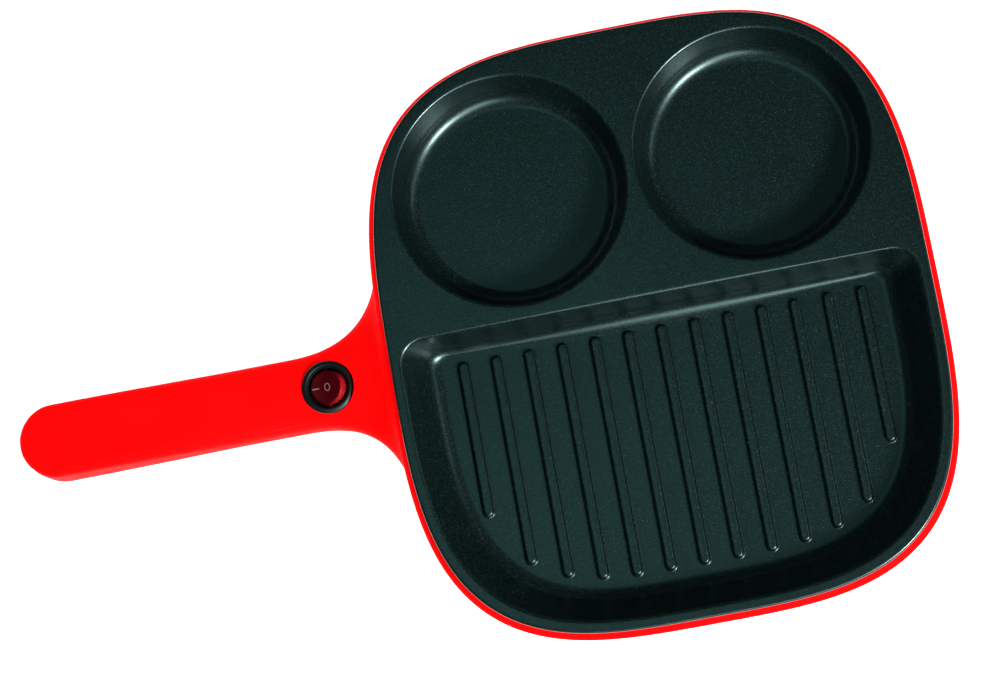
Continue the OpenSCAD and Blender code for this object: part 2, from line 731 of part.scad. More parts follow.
// Smooth curve through the points, with a few steps from each to the next
function spline(p, steps) = [for (i = [0:len(p) - 2], k = [0:steps - 1])
    let (a = p[max(0, i - 1)], b = p[i], c = p[i + 1], d = p[min(len(p) - 1, i + 2)], t = k / steps)
    0.5 * (2 * b + (c - a) * t + (2 * a - 5 * b + 4 * c - d) * t * t + (3 * b - a - 3 * c + d) * t * t * t)];
function unit(v) = v / norm(v);
module wire(points, r) {
    path = concat(spline(points, 4), [points[len(points) - 1]]);
    m = len(path);
    up = [0, 0, 1];
    rings = [for (i = [0:m - 1])
        let (t = unit(path[min(m - 1, i + 1)] - path[max(0, i - 1)]),
             s = norm(cross(up, t)) < 0.05 ? [1, 0, 0] : unit(cross(up, t)), w = cross(t, s))
        [for (j = [0:7]) path[i] + r * (cos(j * 45) * s + sin(j * 45) * w)]];
    loft(rings);
}

// Routes of the insulated wires inside the handle and the body
module live_wire() {
    color("saddlebrown") pan() wire([[wire_x, 7, inlet_z - 2], [wire_x + 3, 7, inlet_z - 2],
        [wire_x + 15, 9, 30], [wire_x + 50, 9, 28], [-165, 9, 27], [switch_x - 4, 8.5, 26.5],
        [switch_x, 6, 26.5], [switch_x, 2.8, 26.5]], wire_r);
}
module heater_lead() {
    color("firebrick") pan() wire([[switch_x + 6.5, 0, 26], [switch_x + 8.5, 0, 26], [-131, 7, 27],
        [-118, 9, 26.5], [-105, 9, 26], [-88, 8, 21], [-50, -8, 19], [-14, -26, 19.5],
        [-6.4, stat_y, 22], [-6.2, stat_y, 25]], wire_r);
}
module neutral_wire() {
    color("royalblue") pan() wire([[wire_x, -7, inlet_z - 2], [wire_x + 3, -7, inlet_z - 2],
        [wire_x + 15, -9, 30], [wire_x + 60, -10, 28], [-150, -10.5, 26.5], [-128, -12, 30],
        [-pin_end - 6, -root_y, tube_z - 1], [-pin_end - 2, -root_y, tube_z],
        [-pin_end - 0.4, -root_y, tube_z]], wire_r);
}
module earth_wire() {
    color("yellowgreen") pan() wire([[wire_x, 0, inlet_z + 2], [wire_x + 1.5, 0, inlet_z + 2],
        [wire_x + 6, -4, 36], [wire_x + 13, -6.5, 37], [wire_x + 60, -6.5, 37], [-168, -8, 30],
        [-150, -6, 24.9], [-128, -7, 25.5], [-108, -7, 25.5], [-85, -14, 21], [-50, -27, 20],
        [earth_x - 3, earth_y, under_z - 18.3], [earth_x, earth_y, under_z - 12.3],
        [earth_x, earth_y, under_z - earth_boss - 3.2]], wire_r);
}
module fuse_lead() {
    color("white") pan() wire([[fuse_x, stat_y + fuse_l / 2 + 6, fuse_z], [fuse_x, stat_y + 14, fuse_z - 2],
        [14, 0, fuse_z - 4.95], [-30, 10, fuse_z - 4.95], [-70, 5, fuse_z - 4.95], [-95, 4, 34],
        [4 - pin_end, 6, tube_z], [3 - pin_end, 8.5, tube_z],
        [3 - pin_end, root_y - wire_r - 0.3, tube_z]], wire_r);
}

cooking_plate();
plate_seal();
top_housing();
bottom_housing();
rubber_feet();
heating_element();
element_insulators();
element_pins();
element_clips();
clip_screws();
heat_reflector();
ceramic_spacers();
plate_screws();
thermostat();
thermostat_tabs();
thermostat_bracket();
thermostat_screws();
thermal_fuse();
fuse_clip();
fuse_screw();
switch_body();
switch_rocker();
rocker_plunger();
rocker_spring();
contact_blade();
switch_terminals();
indicator_lamp();
inlet_housing();
inlet_pins();
handle_screws();
live_wire();
neutral_wire();
earth_wire();
heater_lead();
fuse_lead();
earth_screw();
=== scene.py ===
import math

import bmesh
import bpy
import numpy as np
from mathutils import Matrix, Vector
from mathutils.geometry import delaunay_2d_cdt


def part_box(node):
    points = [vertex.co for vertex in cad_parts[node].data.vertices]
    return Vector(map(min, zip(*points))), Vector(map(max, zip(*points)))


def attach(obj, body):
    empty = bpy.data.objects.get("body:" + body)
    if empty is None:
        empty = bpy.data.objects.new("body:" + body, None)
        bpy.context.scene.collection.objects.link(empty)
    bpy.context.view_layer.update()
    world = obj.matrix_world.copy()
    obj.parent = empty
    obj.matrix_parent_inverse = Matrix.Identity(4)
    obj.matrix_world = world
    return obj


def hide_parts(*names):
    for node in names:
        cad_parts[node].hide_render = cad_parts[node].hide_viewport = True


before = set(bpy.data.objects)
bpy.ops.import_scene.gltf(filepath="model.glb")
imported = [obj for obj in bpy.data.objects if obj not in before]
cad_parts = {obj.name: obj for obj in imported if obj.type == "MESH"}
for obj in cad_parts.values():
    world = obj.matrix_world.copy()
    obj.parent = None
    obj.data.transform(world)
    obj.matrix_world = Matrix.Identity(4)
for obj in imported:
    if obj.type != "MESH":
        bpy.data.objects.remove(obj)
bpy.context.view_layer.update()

# Lengths below are in millimetres, measured from the pan's centre line with Z up from the table.
# They turn into metres in the row frame when a mesh is made.
MM = 0.001

# The plate's and the shell's outlines are squared ellipses: half sizes along X and Y, and a power.
plate_lo, plate_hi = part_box("cooking_plate")
PAN = Vector(((plate_lo.x + plate_hi.x) / 2, 0, 0))
EDGE_GAP = 0.45
PLATE_HALF_X = (plate_hi.x - plate_lo.x) / 2 / MM - EDGE_GAP
PLATE_HALF_Y = (plate_hi.y - plate_lo.y) / 2 / MM - EDGE_GAP
PLATE_POWER = 3.42
RIM_Z = plate_hi.z / MM
FLANGE_Z = RIM_Z - 3.5
WELL_DEPTH = 19.2
FLOOR_Z = RIM_Z - WELL_DEPTH
UNDER_Z = FLOOR_Z - 2.5
WELL_R = 50
WELL_DRAFT = 4.3
WELL_X = 52.5
WELL_Y = 66.5
WELL_RIM_ROUND = 1.6
WELL_FOOT_ROUND = 7.0
GRILL_MARGIN = 5.2 - EDGE_GAP
GRILL_DRAFT = 11
GRILL_TOP = 10.2
GRILL_TOP_DRAFT = 4.2
GRILL_RIM_ROUND = 2.4
GRILL_FOOT_ROUND = 8.0
RIB_COUNT = 13
RIB_PITCH = 14.4
RIB_HALF = 2.4
RIB_LEAN = 0.55
RIB_HEIGHT = 2.3
RIB_CROWN_HALF = 0.4

shell_lo, shell_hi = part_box("top_housing")
SHELL_HALF_X = 118.4
SHELL_HALF_Y = shell_hi.y / MM
SHELL_POWER = 3.38
BASE_Z = 5
BASE_ROUND = 13
PARTING_Z = 35.5
WIDE_Z = 54.9
DECK_Z = 57.5
LID_Z = 60
DECK_INSET = 2.4
LEAN_IN = 3
WALL = 2.5

TAIL_X = (shell_lo.x - PAN.x) / MM
TAIL_GAP = 1.7
HANDLE_ROOT_X = -60
HANDLE_HALF = 16.2
HANDLE_UP = 10
HANDLE_DOWN = 15
HANDLE_TOP = PARTING_Z + HANDLE_UP
HANDLE_BASE = PARTING_Z - HANDLE_DOWN
HANDLE_POWER = 3.4
HANDLE_SKIN = 2.2

SWITCH_X = -145.2
SWITCH_BORE = 10.1
SWITCH_SEAT = 11.7
SWITCH_BOSS = 12.5
PIVOT_Z = HANDLE_TOP - 1.3
INLET_X = TAIL_X + 7.8
INLET_BACK = INLET_X + 21.5
INLET_Z = 33
POSTS = [(55, 59), (-55, 59), (-55, -59), (55, -59)]
POST_R = 5
POST_TOP = 23.7
HANDLE_POST_R = 3.5
FEET = [(68, 80), (-68, 80), (-68, -80), (68, -80)]
HANDLE_SCREWS = [-122, -185, -236]
PLATE_SCREW_SEAT = BASE_Z + 3.4
HANDLE_SCREW_SEAT = HANDLE_BASE + 2.8


def make_camera():
    """Almost straight above, leaning the little that the photograph shows."""
    data = bpy.data.cameras.new("photo_camera")
    data.lens = 98.64353
    data.sensor_width = 36
    camera = bpy.data.objects.new("photo_camera", data)
    camera.location = (0.09582, -0.19774, 1.19953)
    camera.rotation_euler = [math.radians(a) for a in (9.17212, 5.72163, -10.05235)]
    bpy.context.scene.collection.objects.link(camera)
    bpy.context.scene.camera = camera


make_camera()


# ---------------------------------------------------------------- materials
class Nodes:
    """A node material around one Principled shader, in object coordinates."""

    def __init__(self, name):
        self.mat = bpy.data.materials.new(name)
        self.mat.use_nodes = True
        self.tree = self.mat.node_tree
        self.shader = self.tree.nodes["Principled BSDF"]
        self.coords = self.tree.nodes.new("ShaderNodeTexCoord").outputs["Object"]

    def new(self, kind, **values):
        node = self.tree.nodes.new("ShaderNode" + kind)
        for key, value in values.items():
            if key in node.inputs.keys():
                node.inputs[key].default_value = value
            else:
                setattr(node, key, value)
        return node

    def link(self, a, b):
        self.tree.links.new(a, b)

    def noise(self, scale, detail=2.0, rough=0.5, stretch=None):
        node = self.new("TexNoise", Scale=scale, Detail=detail, Roughness=rough)
        source = self.coords
        if stretch:
            mapping = self.new("Mapping")
            mapping.inputs["Scale"].default_value = stretch
            self.link(source, mapping.inputs["Vector"])
            source = mapping.outputs["Vector"]
        self.link(source, node.inputs["Vector"])
        return node.outputs["Fac"]

    def ramp(self, fac, stops):
        node = self.new("ValToRGB")
        elements = node.color_ramp.elements
        while len(elements) < len(stops):
            elements.new(0.5)
        for element, (position, value) in zip(elements, stops):
            element.position = position
            element.color = (*value, 1) if hasattr(value, "__len__") else (value, value, value, 1)
        self.link(fac, node.inputs["Fac"])
        return node.outputs["Color"]

    def mix(self, fac, a, b):
        node = self.new("Mix", data_type="RGBA")
        for socket, value in ((node.inputs[0], fac), (node.inputs[6], a), (node.inputs[7], b)):
            if isinstance(value, bpy.types.NodeSocket):
                self.link(value, socket)
            else:
                socket.default_value = (*value, 1) if hasattr(value, "__len__") else value
        return node.outputs[2]

    def bump(self, height, distance, strength=1.0, after=None):
        node = self.new("Bump", Strength=strength, Distance=distance)
        self.link(height, node.inputs["Height"])
        if after:
            self.link(after, node.inputs["Normal"])
        self.link(node.outputs["Normal"], self.shader.inputs["Normal"])
        return node.outputs["Normal"]

    def base(self, value):
        if isinstance(value, bpy.types.NodeSocket):
            self.link(value, self.shader.inputs["Base Color"])
        else:
            self.shader.inputs["Base Color"].default_value = (*value, 1)

    def rough(self, fac, stops):
        self.link(self.ramp(fac, stops), self.shader.inputs["Roughness"])

    def set(self, **values):
        """Shader inputs by name, with _ for each space."""
        for key, value in values.items():
            self.shader.inputs[key.replace("_", " ")].default_value = value
        return self


def varied(name, color, rough, spread=0.12, grain=600.0, bump=0.00002, **values):
    """Plain material whose colour and roughness drift a little, over a fine grain."""
    m = Nodes(name)
    dark = [c * (1 - spread) for c in color]
    light = [min(1, c * (1 + spread)) for c in color]
    m.base(m.ramp(m.noise(35.0, 3.0), [(0.3, dark), (0.7, light)]))
    m.rough(m.noise(90.0, 2.0), [(0.3, rough * 0.85), (0.7, min(1, rough * 1.15))])
    m.bump(m.noise(grain, 2.0), bump)
    return m.set(**values).mat


def coating_material():
    """Near-black green, clouded, with a dense fine grain, sparse pale specks and a pebbled surface."""
    m = Nodes("speckled_coating")
    cloud = m.ramp(m.noise(30.0, 3.0), [(0.3, (0.0004, 0.0014, 0.0012)), (0.7, (0.0007, 0.0023, 0.0020))])
    grain = m.ramp(m.noise(1700.0, 2.0, 0.6), [(0.46, 0.0), (0.62, 1.0)])
    grained = m.mix(grain, cloud, (0.0022, 0.0062, 0.0058))
    specks = m.ramp(m.noise(1500.0, 1.0, 0.4), [(0.64, 0.0), (0.76, 0.6)])
    m.base(m.mix(specks, grained, (0.018, 0.034, 0.033)))
    m.rough(m.noise(1500.0, 2.0), [(0.36, 0.28), (0.64, 0.34)])
    pebbles = m.bump(m.noise(1300.0, 2.0, 0.6), 0.00012, 0.23)
    m.bump(m.noise(3200.0, 1.0), 0.00005, 0.22, pebbles)
    return m.set(Specular_IOR_Level=0.40, Specular_Tint=(0.78, 1.0, 0.99, 1)).mat


def red_material():
    """Smooth moulded plastic in strong red, hardly glossy."""
    m = Nodes("red_moulded")
    m.base(m.ramp(m.noise(25.0, 2.0), [(0.3, (0.90, 0.0010, 0.0011)), (0.7, (0.96, 0.0013, 0.0014))]))
    m.rough(m.noise(160.0, 3.0), [(0.35, 0.52), (0.65, 0.60)])
    m.bump(m.noise(420.0, 2.0), 0.00003, 0.35)
    return m.set(Specular_IOR_Level=0.025, Specular_Tint=(1.0, 0.25, 0.25, 1)).mat


def lens_material():
    """Deep red, with a painted highlight: a bright grainy crescent along the edge on the pan's side."""
    m = Nodes("red_lens_plastic")
    deep = m.ramp(m.noise(220.0, 2.0), [(0.3, (0.018, 0.0002, 0.0007)), (0.7, (0.026, 0.0004, 0.0012))])
    painted_highlight_grains = m.ramp(m.noise(2200.0, 1.0), [(0.40, (0.08, 0.0012, 0.002)), (0.62, (0.40, 0.008, 0.012))])
    # Painted highlight: the bright grains show only in a crescent far from a point moved towards the tail, so
    # along the edge on the pan's side.
    away = m.new("VectorMath", operation="DISTANCE")
    away.inputs[1].default_value = (PAN.x + (SWITCH_X - 1.9) * MM, 0.7 * MM, HANDLE_TOP * MM)
    m.link(m.coords, away.inputs[0])
    edge = m.new("MapRange", interpolation_type="SMOOTHSTEP")
    edge.inputs["From Min"].default_value = 7.8 * MM
    edge.inputs["From Max"].default_value = 9.4 * MM
    m.link(away.outputs["Value"], edge.inputs["Value"])
    m.base(m.mix(edge.outputs["Result"], deep, painted_highlight_grains))
    m.rough(m.noise(300.0, 2.0), [(0.3, 0.24), (0.7, 0.34)])
    m.bump(m.noise(1400.0, 2.0), 0.00006, 0.5)
    return m.set(Specular_IOR_Level=0.5, Specular_Tint=(1.0, 0.10, 0.15, 1)).mat


def brushed(name, color, rough, stretch, **values):
    """Metal with fine parallel marks."""
    m = Nodes(name)
    marks = m.noise(260.0, 4.0, 0.6, stretch)
    m.base(m.ramp(marks, [(0.3, [c * 0.88 for c in color]), (0.7, [min(1, c * 1.06) for c in color])]))
    m.rough(marks, [(0.3, rough * 0.8), (0.7, rough * 1.3)])
    m.bump(marks, 0.00002, 0.4)
    return m.set(Metallic=1.0, **values).mat


def element_material():
    """Steel sheath that heat has stained in patches."""
    m = Nodes("heat_stained_sheath")
    stain = m.noise(38.0, 4.0, 0.6)
    m.base(m.ramp(stain, [(0.35, (0.20, 0.19, 0.18)), (0.55, (0.34, 0.30, 0.25)), (0.7, (0.24, 0.22, 0.26))]))
    m.rough(stain, [(0.3, 0.32), (0.7, 0.52)])
    m.bump(m.noise(700.0, 3.0), 0.00003, 0.5)
    return m.set(Metallic=0.9).mat


COATING = coating_material()
RED = red_material()
BLACK = varied("black_moulded", (0.0020, 0.0028, 0.0028), 0.42, grain=1500.0, bump=0.00004,
               Specular_IOR_Level=0.22)
LENS = lens_material()
WHITE = varied("white_moulded", (0.72, 0.66, 0.64), 0.5)
MARK = varied("pale_mark", (0.13, 0.06, 0.065), 0.55, spread=0.05)
RUBBER = varied("foot_rubber", (0.018, 0.018, 0.019), 0.82, grain=1800.0, bump=0.00006,
                Specular_IOR_Level=0.3)
SILICONE = varied("grey_silicone", (0.11, 0.115, 0.115), 0.7, grain=900.0, Specular_IOR_Level=0.35)
STEEL = brushed("zinc_steel", (0.58, 0.59, 0.61), 0.32, (1.0, 1.0, 9.0))
SHEET = brushed("rolled_sheet", (0.78, 0.78, 0.79), 0.26, (1.0, 14.0, 1.0))
BRASS = brushed("plain_brass", (0.74, 0.52, 0.22), 0.30, (9.0, 1.0, 1.0))
SHEATH = element_material()
CERAMIC = varied("unglazed_ceramic", (0.80, 0.76, 0.67), 0.78, grain=1400.0, bump=0.00005)
GLASS = varied("lamp_glass", (1.0, 0.55, 0.40), 0.08, spread=0.04, bump=0.000004,
               Transmission_Weight=0.8)
BROWN = varied("brown_insulation", (0.16, 0.065, 0.025), 0.5)
BLUE = varied("blue_insulation", (0.02, 0.07, 0.42), 0.5)
GREEN = varied("green_insulation", (0.16, 0.42, 0.03), 0.5, spread=0.3)
SLEEVE = varied("woven_sleeve", (0.70, 0.69, 0.65), 0.8, grain=2200.0, bump=0.00012)
FUSE = varied("fuse_case", (0.62, 0.62, 0.60), 0.35, Metallic=0.8)

# The finish of every CAD node; the pieces made further down replace some of the nodes.
NODE_FINISH = {
    "plate_seal": SILICONE, "heating_element": SHEATH, "element_insulators": CERAMIC,
    "element_pins": STEEL, "element_clips": STEEL, "clip_screws": STEEL, "heat_reflector": SHEET,
    "ceramic_spacers": CERAMIC, "thermostat": CERAMIC, "thermostat_tabs": BRASS,
    "thermostat_bracket": STEEL, "thermostat_screws": STEEL, "thermal_fuse": FUSE, "fuse_clip": STEEL,
    "fuse_screw": STEEL, "rocker_plunger": WHITE, "rocker_spring": STEEL, "contact_blade": BRASS,
    "switch_terminals": BRASS, "indicator_lamp": GLASS, "live_wire": BROWN, "neutral_wire": BLUE,
    "earth_wire": GREEN, "heater_lead": SLEEVE, "fuse_lead": SLEEVE, "earth_screw": BRASS,
    "cooking_plate": COATING, "top_housing": RED, "bottom_housing": RED, "rubber_feet": RUBBER,
    "plate_screws": STEEL, "handle_screws": STEEL, "switch_body": BLACK, "switch_rocker": LENS,
    "inlet_housing": BLACK, "inlet_pins": STEEL,
}
for node_name, finish in NODE_FINISH.items():
    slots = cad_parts[node_name].data.materials
    slots.clear()
    slots.append(finish)


# ---------------------------------------------------------------- mesh tools
class Shape:
    """Points and faces of one mesh, in millimetres from the pan's centre line."""

    def __init__(self):
        self.points = []
        self.faces = []

    def loop(self, points):
        start = len(self.points)
        self.points.extend(tuple(map(float, p)) for p in points)
        return list(range(start, len(self.points)))

    def strip(self, a, b):
        """Faces between two closed loops of as many points."""
        n = len(a)
        for i in range(n):
            j = (i + 1) % n
            self.faces.append((a[i], a[j], b[j], b[i]))

    def stack(self, rings):
        """Loops through the rings, joined one to the next."""
        loops = [self.loop(r) for r in rings]
        for a, b in zip(loops, loops[1:]):
            self.strip(a, b)
        return loops

    def solid(self, rings):
        """A stack that is closed at both ends."""
        loops = self.stack(rings)
        self.cap(loops[0])
        self.cap(loops[-1])

    def cap(self, loop):
        self.faces.append(tuple(loop))

    def flat(self, outer, holes):
        """Triangles between one outer loop and the holes in it, all at one height."""
        loops = [outer, *holes]
        index = [i for l in loops for i in l]
        flat_points = [Vector(self.points[i][:2]) for i in index]
        edges, start = [], 0
        for l in loops:
            edges += [(start + k, start + (k + 1) % len(l)) for k in range(len(l))]
            start += len(l)
        result = delaunay_2d_cdt(flat_points, edges, [], 0, 1e-6)
        where = [index[originals[0]] if originals else None for originals in result[3]]
        rings = [np.array([self.points[i][:2] for i in l]) for l in loops]
        for face in result[2]:
            if any(where[i] is None for i in face):
                continue
            middle = np.mean([result[0][i][:2] for i in face], axis=0)
            if inside(middle, rings[0]) and not any(inside(middle, r) for r in rings[1:]):
                self.faces.append(tuple(where[i] for i in face))

    def build(self, name, move=None):
        merge = 0.0005
        mesh = bpy.data.meshes.new(name)
        mesh.from_pydata(self.points, [], self.faces)
        bm = bmesh.new()
        bm.from_mesh(mesh)
        bmesh.ops.remove_doubles(bm, verts=bm.verts, dist=merge)
        bmesh.ops.dissolve_degenerate(bm, dist=merge / 5, edges=bm.edges)
        bmesh.ops.recalc_face_normals(bm, faces=bm.faces)
        if move is not None:
            bm.transform(move)
        bm.to_mesh(mesh)
        bm.free()
        return link_mesh(name, mesh)


def inside(point, ring):
    """Whether the point is inside the ring, by the crossings to its right."""
    x, y = point[0], point[1]
    x0, y0 = ring[:, 0], ring[:, 1]
    x1, y1 = np.roll(x0, -1), np.roll(y0, -1)
    crosses = (y0 > y) != (y1 > y)
    with np.errstate(divide="ignore", invalid="ignore"):
        at = x0 + (y - y0) / (y1 - y0) * (x1 - x0)
    return bool(np.count_nonzero(crosses & (x < at)) % 2)


def circle(x, y, r, z, count):
    turns = [math.tau * i / count for i in range(count)]
    return [(x + r * math.cos(t), y + r * math.sin(t), z) for t in turns]


def squared(a, b, n, t):
    """Point of a squared ellipse in the direction t, in degrees."""
    c, s = math.cos(math.radians(t)), math.sin(math.radians(t))
    r = (abs(c / a) ** n + abs(s / b) ** n) ** (-1 / n)
    return r * c, r * s


def outline(a, b, n, z, count=240):
    return [(*squared(a, b, n, i * 360 / count), z) for i in range(count)]


def link_mesh(name, mesh):
    piece = bpy.data.objects.new(name, mesh)
    bpy.context.scene.collection.objects.link(piece)
    return piece


def finish_mesh(piece, material, body, nodes=(), angle=40):
    """Smooth shading with sharp edges kept, one material, and the piece's place in the frame."""
    mesh = piece.data
    mesh.materials.clear()
    mesh.materials.append(material)
    bm = bmesh.new()
    bm.from_mesh(mesh)
    limit = math.radians(angle)
    for face in bm.faces:
        face.smooth = True
    for edge in bm.edges:
        edge.smooth = len(edge.link_faces) == 2 and edge.calc_face_angle(0) < limit
    bm.to_mesh(mesh)
    bm.free()
    weighted = piece.modifiers.new("normals", "WEIGHTED_NORMAL")
    weighted.keep_sharp = True
    place(piece, body, nodes)


def place(piece, body, nodes=()):
    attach(piece, body)
    if nodes:
        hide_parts(*nodes)


def to_frame(piece):
    """From millimetres about the pan to metres in the row frame."""
    piece.data.transform(Matrix.Translation(PAN) @ Matrix.Scale(MM, 4))
    piece.data.update()


def boolean(piece, tool, operation):
    """Cuts the tool from the piece, or adds it, and removes the tool."""
    modifier = piece.modifiers.new("cut", "BOOLEAN")
    modifier.operation = operation
    modifier.solver = "MANIFOLD"
    modifier.object = tool
    apply_modifiers(piece)
    remove(tool)


def cut(piece, tool):
    boolean(piece, tool, "DIFFERENCE")


def add(piece, tool):
    boolean(piece, tool, "UNION")


def apply_modifiers(piece):
    """Gives the piece its modified mesh and drops the old one."""
    graph = bpy.context.evaluated_depsgraph_get()
    mesh = bpy.data.meshes.new_from_object(piece.evaluated_get(graph))
    old = piece.data
    piece.modifiers.clear()
    piece.data = mesh
    bpy.data.meshes.remove(old)


def remove(piece):
    mesh = piece.data
    bpy.data.objects.remove(piece)
    bpy.data.meshes.remove(mesh)


def prism(rings):
    shape = Shape()
    shape.solid(rings)
    return shape.build("solid")


def turned(x, y, profile, count=48):
    """A solid round the vertical through (x, y), from (radius, height) points."""
    return prism([circle(x, y, r, z, count) for r, z in profile])


def cylinder(x, y, z0, z1, r, count=64):
    return turned(x, y, ((r, z0), (r, z1)), count)


def block(x0, x1, y0, y1, z0, z1):
    return prism([[(x0, y0, z), (x1, y0, z), (x1, y1, z), (x0, y1, z)] for z in (z0, z1)])


def axle(x, z, rings):
    """A round bar along Y through (x, z), from (y, radius) pairs."""
    turns = np.linspace(0, math.tau, 24, endpoint=False)
    return prism([[(x + r * math.cos(a), y, z + r * math.sin(a)) for a in turns] for y, r in rings])


def wall_profile(run, drop, rim, foot, rim_steps=5, foot_steps=8):
    """(inward, height) points down a wall that falls by drop over run, with a rounded rim and foot."""
    turn = math.atan2(drop, run)
    lead, tail = rim * math.tan(turn / 2), foot * math.tan(turn / 2)
    down = [turn * k / rim_steps for k in range(rim_steps + 1)]
    up = [turn * (1 - k / foot_steps) for k in range(foot_steps + 1)]
    return ([(rim * math.sin(a) - lead, rim * (math.cos(a) - 1)) for a in down]
            + [(run + tail - foot * math.sin(a), foot * (1 - math.cos(a)) - drop) for a in up])


# ---------------------------------------------------------------- cooking plate
def between(p, q, count):
    """Points that split the line from p to q into count parts, without its ends."""
    return [(p[0] + (q[0] - p[0]) * k / count, p[1] + (q[1] - p[1]) * k / count) for k in range(1, count)]


def grill_outline(inset, top, radius):
    """The ribbed well's outline: straight far side, round corners, and the plate's own line pulled in."""
    a, b = PLATE_HALF_X - inset, PLATE_HALF_Y - inset
    first, sweep, steps = 186, 168, 130
    near = [squared(a, b, PLATE_POWER, first + i * sweep / steps) for i in range(steps + 1)]

    def corner(x, turn):
        return [(x + radius * math.cos(t), top - radius + radius * math.sin(t))
                for t in np.linspace(turn, turn + math.pi / 2, 13)]

    right, left = corner(a - radius, 0), corner(radius - a, math.pi / 2)
    return (near + between(near[-1], right[0], 4) + right + between(right[-1], left[0], 60)
            + left + between(left[-1], near[0], 4))


def sloped_well(shape, rim, floor, rim_round, foot_round):
    """Loops from the flat top, over the rim and down the wall, to where the floor is flat."""
    rim, floor = np.array(rim), np.array(floor)
    step = floor - rim
    run = np.hypot(step[:, 0], step[:, 1])
    inward = step / run[:, None]
    profiles = np.array([wall_profile(r, WELL_DEPTH, rim_round, foot_round) for r in run])
    loops = []
    for k in range(profiles.shape[1]):
        xy = rim + inward * profiles[:, k, :1]
        loops.append(shape.loop([(x, y, RIM_Z + z) for (x, y), z in zip(xy, profiles[:, k, 1])]))
    for a, b in zip(loops, loops[1:]):
        shape.strip(a, b)
    return loops[0], loops[-1]


def rib_outline(x, far, half, z):
    """Stadium along Y of the half width given; one of RIB_HALF reaches from y = 0 to y = far."""
    ends = [(-RIB_HALF, 0), (far + RIB_HALF, math.pi)]
    return [(x + half * math.cos(start + t), y + half * math.sin(start + t), z)
            for y, start in ends for t in np.linspace(0, math.pi, 11)]


def add_rib(shape, index):
    """One rib, as long as the ribbed well's curve allows; returns the loop at its foot."""
    x = (index - (RIB_COUNT - 1) / 2) * RIB_PITCH
    half_x, half_y, power = 91.5, 104.2, 3.8
    far = -half_y * max(0.05, 1 - min(1, abs(x) / half_x) ** power) ** (1 / power)
    profile = wall_profile(RIB_LEAN, RIB_HEIGHT, 1.0, 0.8, 5, 4)[::-1]
    loops = shape.stack([rib_outline(x, far, RIB_HALF - RIB_LEAN + inward, FLOOR_Z + RIB_HEIGHT + z)
                         for inward, z in profile])
    crown = shape.loop(rib_outline(x, far, RIB_CROWN_HALF, FLOOR_Z + RIB_HEIGHT + 0.02))
    shape.strip(loops[-1], crown)
    shape.cap(crown)
    return loops[0]


def round_well(shape, side):
    """One round well and its underside; returns its loops on the flange's upper and lower face."""
    x, floor_r, count = side * WELL_X, WELL_R - WELL_DRAFT, 144
    rim = [p[:2] for p in circle(x, WELL_Y, WELL_R, 0, count)]
    floor = [p[:2] for p in circle(x, WELL_Y, floor_r, 0, count)]
    top, foot = sloped_well(shape, rim, floor, WELL_RIM_ROUND, WELL_FOOT_ROUND)
    middle = np.array([x, WELL_Y])
    spokes = [np.array(shape.points[i][:2]) - middle for i in foot]
    loops = [foot] + [shape.loop([(*(middle + spoke * share), FLOOR_Z) for spoke in spokes])
                      for share in (0.8, 0.5, 0.2)]
    for a, b in zip(loops, loops[1:]):
        shape.strip(a, b)
    shape.cap(loops[-1])
    under = shape.stack([circle(x, WELL_Y, r, z, count) for r, z in
                         ((floor_r + 0.6, UNDER_Z), (floor_r + 2.0, UNDER_Z + 1.5),
                          (WELL_R + 1.62, FLANGE_Z - 0.7), (WELL_R + 2.1, FLANGE_Z))])
    shape.cap(under[0])
    return top, under[-1]


def ribbed_well(shape):
    """The ribbed well and its underside; returns its loops on the flange's upper and lower face."""
    inset, far, wall = GRILL_MARGIN + GRILL_DRAFT, GRILL_TOP - GRILL_TOP_DRAFT, 2.9
    top, foot = sloped_well(shape, grill_outline(GRILL_MARGIN, GRILL_TOP, 11), grill_outline(inset, far, 7),
                            GRILL_RIM_ROUND, GRILL_FOOT_ROUND)
    shape.flat(foot, [add_rib(shape, i) for i in range(RIB_COUNT)])
    lower = ((grill_outline(inset - wall + 1.2, far + wall - 1.2, 8.5), UNDER_Z),
             (grill_outline(inset - wall, far + wall, 10), UNDER_Z + 1.4),
             (grill_outline(GRILL_MARGIN - wall + 1.4, GRILL_TOP + wall - 0.6, 13.5), FLANGE_Z))
    under = shape.stack([[(x, y, z) for x, y in ring] for ring, z in lower])
    shape.cap(under[0])
    return top, under[-1]


def make_plate():
    shape = Shape()
    edge = [(0.5, FLANGE_Z), (0.12, FLANGE_Z + 0.12), (0, FLANGE_Z + 0.5), (0, RIM_Z - 1.1),
            (0.08, RIM_Z - 0.68), (0.32, RIM_Z - 0.32), (0.68, RIM_Z - 0.08), (1.1, RIM_Z)]
    sides = shape.stack([outline(PLATE_HALF_X - i, PLATE_HALF_Y - i, PLATE_POWER, z) for i, z in edge])
    wells = [round_well(shape, -1), round_well(shape, 1), ribbed_well(shape)]
    shape.flat(sides[-1], [top for top, under in wells])
    shape.flat(sides[0], [under for top, under in wells])
    piece = shape.build("cast_plate")
    to_frame(piece)
    finish_mesh(piece, COATING, "griddle", ["cooking_plate"], 55)


make_plate()


# ---------------------------------------------------------------- red housing
def smooth_least(a, b, k):
    """The smaller of two distances, with the crease between them rounded over k."""
    h = np.maximum(k - np.abs(a - b), 0) / k
    return np.minimum(a, b) - h * h * k / 4


def soft_step(x, low, high):
    t = np.clip((x - low) / (high - low), 0, 1)
    return t * t * (3 - 2 * t)


def past_squared(u, v, half_u, half_v, power):
    """How far (u, v) lies outside a squared ellipse, along the line from its middle."""
    scale = (np.abs(u / half_u) ** power + np.abs(v / half_v) ** power) ** (1 / power)
    return np.hypot(u, v) * (1 - 1 / np.maximum(scale, 1e-3))


